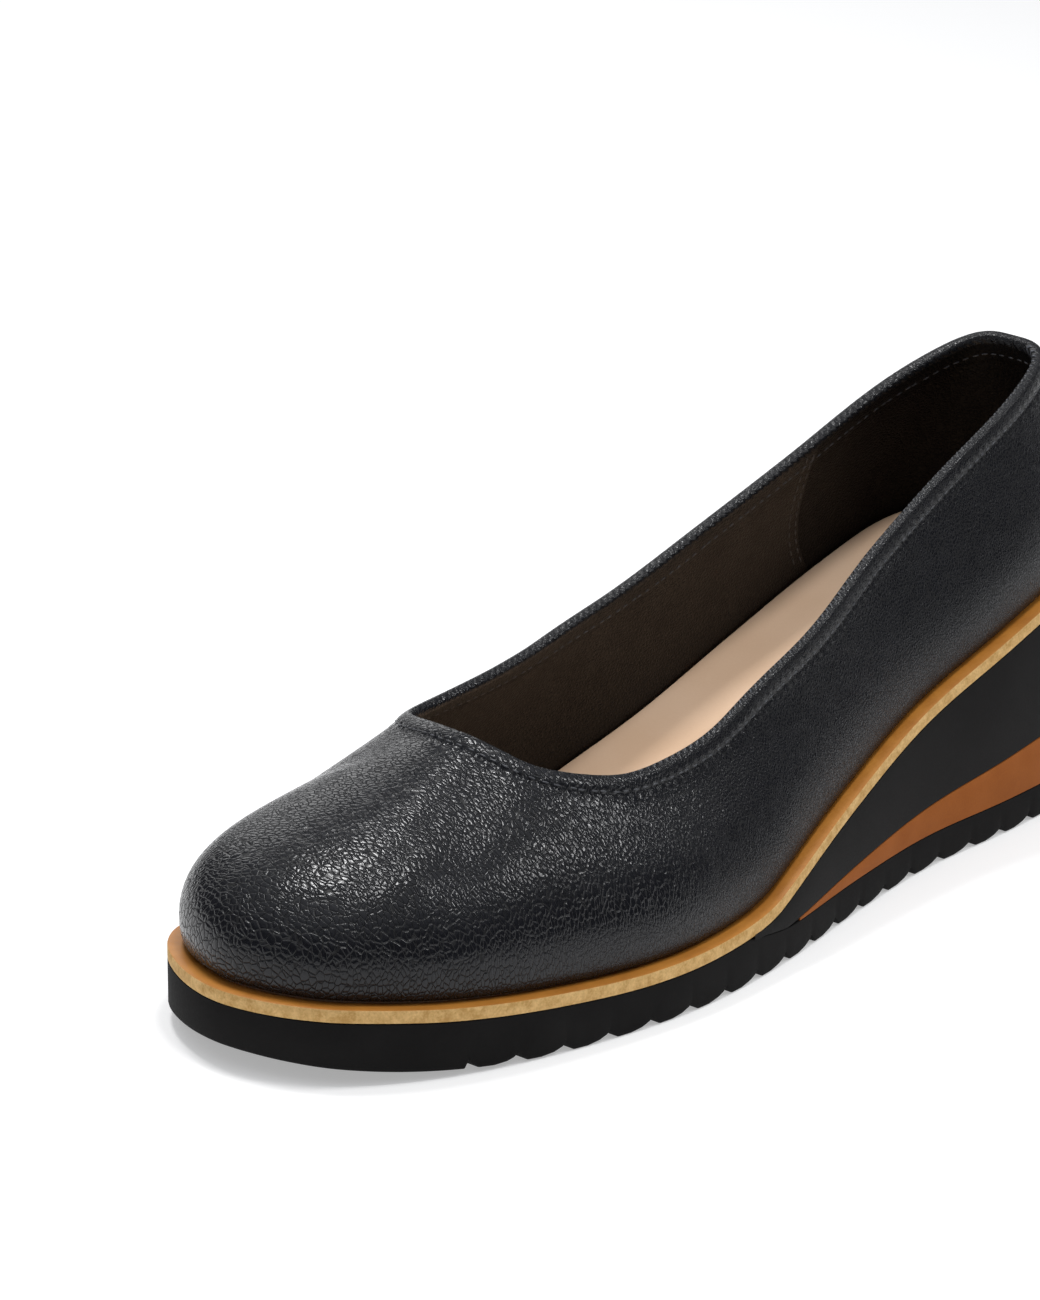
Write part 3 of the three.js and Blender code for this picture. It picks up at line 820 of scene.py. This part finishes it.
def readCollar(obj, isOuter, c):
    # the collar's edge is where outer faces meet inner ones, well above the foot of the wall
    mesh = bmesh.new()
    mesh.from_mesh(obj.data)
    edge = [sum((v.co for v in e.verts), Vector()) / 2 for e in mesh.edges
            if isOuter[e.link_faces[0].index] != isOuter[e.link_faces[1].index]]
    mesh.free()
    edge = np.array([p for p in edge if p.z > heightOn("insole", p.y, 1) + c["aboveSock"] * mm])
    order = np.argsort(np.arctan2(edge[:, 0] - middleX * mm, c["middleY"] * mm - edge[:, 1]))
    return closedCurve(softened(evenly(edge[order], c["points"])), c["steps"])


def seamPlace(z):
    # where along the shoe the counter seam runs at one height
    return counterSeam["at"] + counterSeam["bow"] * np.minimum(z - counterSeam["level"], 0) ** 2


def makeUpper(c):
    node = frame["nodes"]["upper"]
    obj = node.copy()
    obj.data = node.data.copy()
    obj.parent = None
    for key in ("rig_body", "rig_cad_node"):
        del obj[key]
    scene.collection.objects.link(obj)
    editMesh(
        obj,
        lambda: bpy.ops.mesh.select_all(action="SELECT"),
        lambda: bpy.ops.mesh.remove_doubles(threshold=0.002 * mm),
        lambda: bpy.ops.mesh.tris_convert_to_quads(face_threshold=math.pi, shape_threshold=math.pi),
    )
    applyModifier(obj, "SUBSURF", levels=2, render_levels=2)
    coords = coordsOf(obj)
    normals = np.array([v.normal for v in obj.data.vertices])
    outer = smoothStep(facing(coords, normals), -c["edgeOn"], c["edgeOn"])
    centres = np.array([p.center for p in obj.data.polygons])
    isOuter = facing(centres, np.array([p.normal for p in obj.data.polygons])) > 0
    collar = readCollar(obj, isOuter, collarReading)
    walked = np.r_[0, np.cumsum(np.linalg.norm(np.diff(collar, axis=0), axis=1))]
    finder = finderOf(collar)
    found = [finder.find(p) for p in coords]
    back = np.array([f[2] for f in found])
    along = np.array([walked[f[1]] for f in found])

    # relief of the collar: rolled hem, drawn-in seam, small gathers below it along the sides
    hem = hemWidth * mm
    sides = smoothStep(coords[:, 1], c["sidesFrom"][0] * mm, c["sidesFrom"][1] * mm)
    roll = np.sin(np.clip(back / hem, 0, 1) * math.pi) * c["hemRoll"]
    groove = np.exp(-(((back - hem) / (c["grooveWidth"] * mm)) ** 2)) * c["grooveDepth"]
    fade = smoothStep(back, hem, hem + 1 * mm) * (1 - smoothStep(back, hem + 1 * mm, c["gatherReach"] * mm))
    stray, length = c["gatherDrift"]
    wave = np.sin(2 * math.pi * along / (c["gatherPitch"] * mm) + stray * np.sin(along / (length * mm)))
    move = outer * (roll - groove + wave * fade * sides * c["gatherDepth"])
    for crease in creases:
        away = coords - np.array(crease["at"]) * mm
        turn = math.radians(crease["turn"])
        u = (away[:, 0] * math.cos(turn) + away[:, 1] * math.sin(turn)) / (crease["long"] * mm / 2)
        v = (away[:, 1] * math.cos(turn) - away[:, 0] * math.sin(turn)) / (crease["wide"] * mm / 2)
        soft = np.exp(-u * u - v * v) * (np.abs(away[:, 2]) < c["creaseReach"] * mm)
        move -= outer * crease["deep"] * soft
    setCoords(obj, coords + normals * move[:, None] * mm)

    h = hideStretch
    side = coords[:, 1] + h["splay"] * np.abs(coords[:, 0])
    side = smoothStep(side, h["side"][0] * mm, h["side"][1] * mm)
    low = smoothStep(coords[:, 1], h["low"][0] * mm, h["low"][1] * mm)
    low *= smoothStep(normals[:, 2], h["steep"][0], h["steep"][1])
    setAttribute(obj, "rimBack", back)
    setAttribute(obj, "rimAlong", along)
    setAttribute(obj, "sewn", sides * np.where(coords[:, 0] > 0, 1.0, c["farStitches"]))
    setAttribute(obj, "stretch", h["most"] * np.maximum(side, h["lowShare"] * low))
    setAttribute(obj, "counter", coords[:, 1] - seamPlace(coords[:, 2] / mm) * mm)
    finishPiece(obj, "upper_leather", [finishes["cowhide"], finishes["pigskin"]], "upper", "upper")
    for face in obj.data.polygons:
        fromRim = min(back[v] for v in face.vertices)
        isInside = not isOuter[face.index] and fromRim > c["liningFrom"] * mm
        face.material_index = 1 if isInside else 0
        face.use_smooth = True
    return obj, collar


upper, collar = makeUpper(upperShape)


# Stitches

stitch = {"long": 1.6, "wide": 0.46, "high": 0.4, "blunt": 0.7, "sink": 0.04}


def makeStitchRow(name, places, c):
    # places: middle, direction along the row, surface normal
    bpy.ops.object.select_all(action="DESELECT")
    bpy.ops.mesh.primitive_uv_sphere_add(segments=8, ring_count=5, radius=0.5)
    seed = bpy.context.object
    shape = coordsOf(seed)
    shape[:, 0] = np.sign(shape[:, 0]) * (np.abs(shape[:, 0]) * 2) ** c["blunt"] / 2
    shape *= np.array([c["long"], c["wide"], c["high"]]) * mm
    setCoords(seed, shape)
    copies = []
    for middle, along, normal in places:
        copy = seed.copy()
        copy.data = seed.data.copy()
        scene.collection.objects.link(copy)
        across = normal.cross(along).normalized()
        ahead = across.cross(normal)
        turn = Matrix((ahead, across, normal)).transposed()
        copy.data.transform(Matrix.Translation(middle - normal * c["sink"] * mm) @ turn.to_4x4())
        copies.append(copy)
    bpy.ops.object.select_all(action="DESELECT")
    for copy in copies:
        copy.select_set(True)
    bpy.context.view_layer.objects.active = copies[0]
    bpy.ops.object.join()
    row = bpy.context.object
    bpy.data.objects.remove(seed)
    finishPiece(row, name, [finishes["thread"]], "upper")
    for face in row.data.polygons:
        face.use_smooth = True


seamReading = {"band": 0.7, "facing": 0.3, "neighbours": 6}


def hemPlaces(inside, c):
    # along the seam of the hem, on the outer or the inner face of the wall
    tree = treeOf(upper.data)
    coords = coordsOf(upper)
    normals = np.array([v.normal for v in upper.data.vertices])
    looks = facing(coords, normals)
    back = np.empty(len(coords))
    upper.data.attributes["rimBack"].data.foreach_get("value", back)
    near = np.abs(back - hemWidth * mm) < c["band"] * mm
    turned = looks < -c["facing"] if inside else looks > c["facing"]
    finder = finderOf(coords[near & turned])
    total = np.linalg.norm(np.diff(collar, axis=0), axis=1).sum()
    count = int(total / (stitchPitch * mm))
    line = []
    for k in range(count):
        p = collar[int((k + 0.5) / count * len(collar))]
        group = [f[0] for f in finder.find_n(p, c["neighbours"])]
        line.append(sum(group, Vector()) / len(group))
    places = []
    for k, p in enumerate(line):
        middle, normal = tree.find_nearest(p)[:2]
        along = (line[(k + 1) % count] - line[k - 1]).normalized()
        places.append((middle, along, normal))
    return places


def counterPlaces(shift, side):
    # down the lining from the hem's seam to the sock, on one side of the shoe
    tree = treeOf(upper.data)
    line = []
    for z in np.arange(counterSeam["top"], counterSeam["foot"], -stitchPitch):
        start = Vector((middleX, seamPlace(z) + shift, z)) * mm
        hit, normal, index, distance = tree.ray_cast(start, Vector((side, 0, 0)))
        if hit and distance < counterSeam["reach"] * mm and normal.x * side < 0:
            line.append((hit, normal))
    places = []
    for k in range(1, len(line) - 1):
        along = (line[k + 1][0] - line[k - 1][0]).normalized()
        places.append((line[k][0], along, line[k][1]))
    return places


hemRows = hemPlaces(False, seamReading) + hemPlaces(True, seamReading)
makeStitchRow("hem_stitches", hemRows, stitch)
counterRows = [p for side in (-1, 1) for shift in counterSeam["rows"] for p in counterPlaces(shift, side)]
makeStitchRow("counter_stitches", counterRows, stitch)
